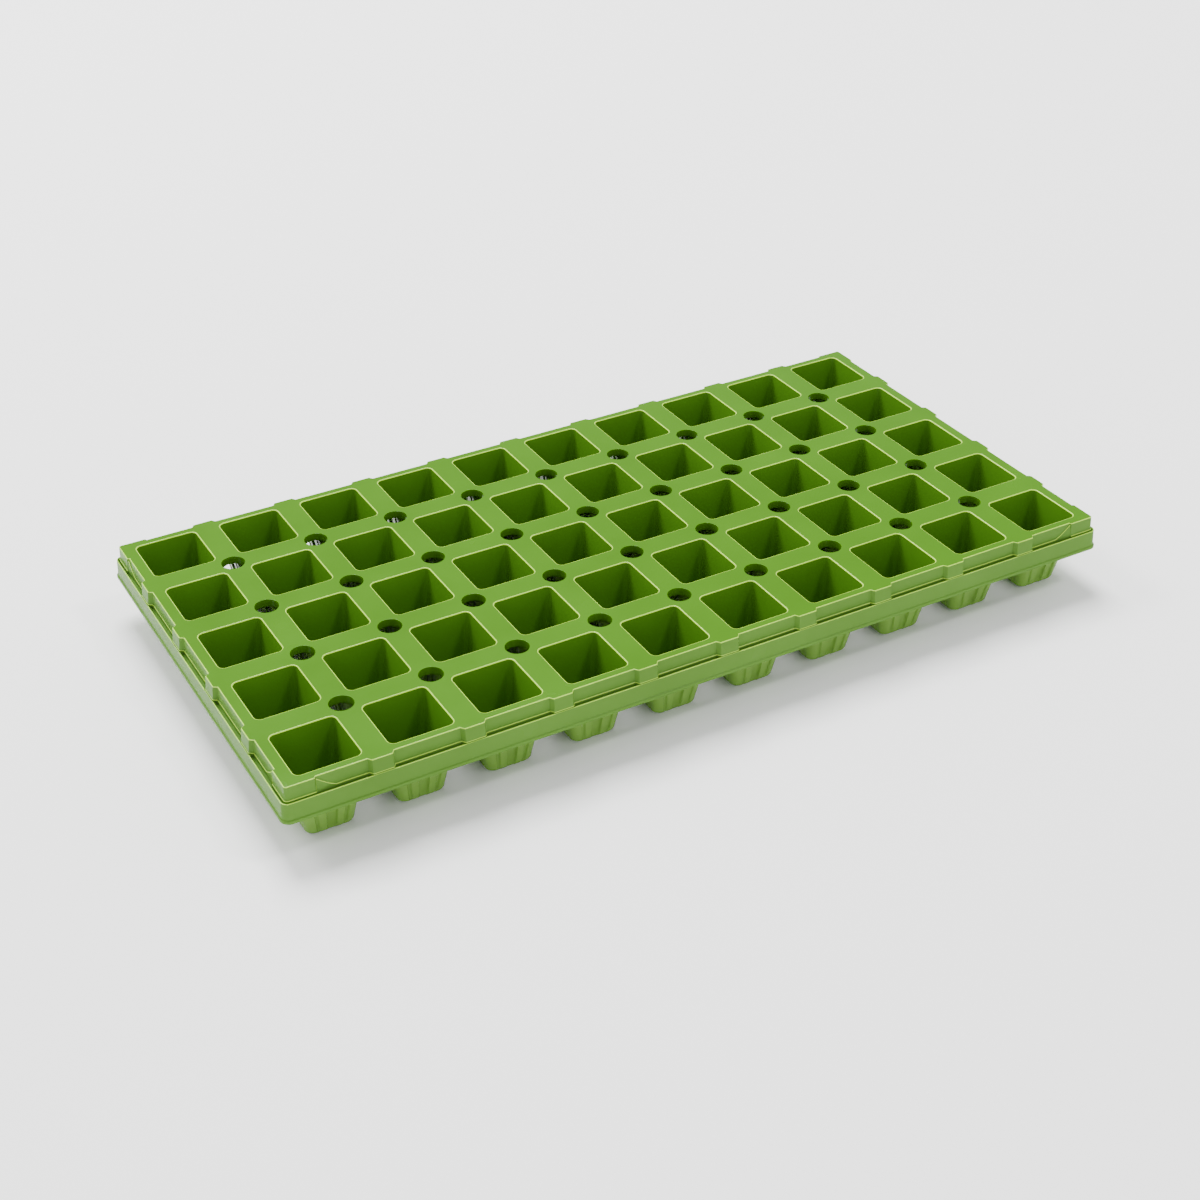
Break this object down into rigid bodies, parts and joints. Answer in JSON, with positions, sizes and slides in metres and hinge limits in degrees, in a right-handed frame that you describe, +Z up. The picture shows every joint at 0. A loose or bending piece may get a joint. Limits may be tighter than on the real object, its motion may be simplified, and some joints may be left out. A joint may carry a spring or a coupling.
{
  "type": "plug tray",
  "caption": "Shallow rectangular green plastic tray of square tapered cells with round holes between them and a stepped, lugged rim; it stands on the cell bottoms.",
  "frame": {"origin": "centre of the tray's footprint, on the surface that the cell bottoms stand on", "axes": "+Z up out of the cells, +X along the long side, +Y along the short side towards the back"},
  "size_m": [0.5394, 0.2776, 0.0475],
  "materials": {
    "tray_plastic": "glossy moulded green plastic"
  },
  "bodies": {
    "root": {"cell_r1_c01": "tray_plastic", "cell_r1_c02": "tray_plastic", "cell_r1_c03": "tray_plastic", "cell_r1_c04": "tray_plastic", "cell_r1_c05": "tray_plastic", "cell_r1_c06": "tray_plastic", "cell_r1_c07": "tray_plastic", "cell_r1_c08": "tray_plastic", "cell_r1_c09": "tray_plastic", "cell_r1_c10": "tray_plastic", "cell_r2_c01": "tray_plastic", "cell_r2_c02": "tray_plastic", "cell_r2_c03": "tray_plastic", "cell_r2_c04": "tray_plastic", "cell_r2_c05": "tray_plastic", "cell_r2_c06": "tray_plastic", "cell_r2_c07": "tray_plastic", "cell_r2_c08": "tray_plastic", "cell_r2_c09": "tray_plastic", "cell_r2_c10": "tray_plastic", "cell_r3_c01": "tray_plastic", "cell_r3_c02": "tray_plastic", "cell_r3_c03": "tray_plastic", "cell_r3_c04": "tray_plastic", "cell_r3_c05": "tray_plastic", "cell_r3_c06": "tray_plastic", "cell_r3_c07": "tray_plastic", "cell_r3_c08": "tray_plastic", "cell_r3_c09": "tray_plastic", "cell_r3_c10": "tray_plastic", "cell_r4_c01": "tray_plastic", "cell_r4_c02": "tray_plastic", "cell_r4_c03": "tray_plastic", "cell_r4_c04": "tray_plastic", "cell_r4_c05": "tray_plastic", "cell_r4_c06": "tray_plastic", "cell_r4_c07": "tray_plastic", "cell_r4_c08": "tray_plastic", "cell_r4_c09": "tray_plastic", "cell_r4_c10": "tray_plastic", "cell_r5_c01": "tray_plastic", "cell_r5_c02": "tray_plastic", "cell_r5_c03": "tray_plastic", "cell_r5_c04": "tray_plastic", "cell_r5_c05": "tray_plastic", "cell_r5_c06": "tray_plastic", "cell_r5_c07": "tray_plastic", "cell_r5_c08": "tray_plastic", "cell_r5_c09": "tray_plastic", "cell_r5_c10": "tray_plastic", "rim_front": "tray_plastic", "rim_right": "tray_plastic", "rim_back": "tray_plastic", "rim_left": "tray_plastic"}
  },
  "joints": []
}
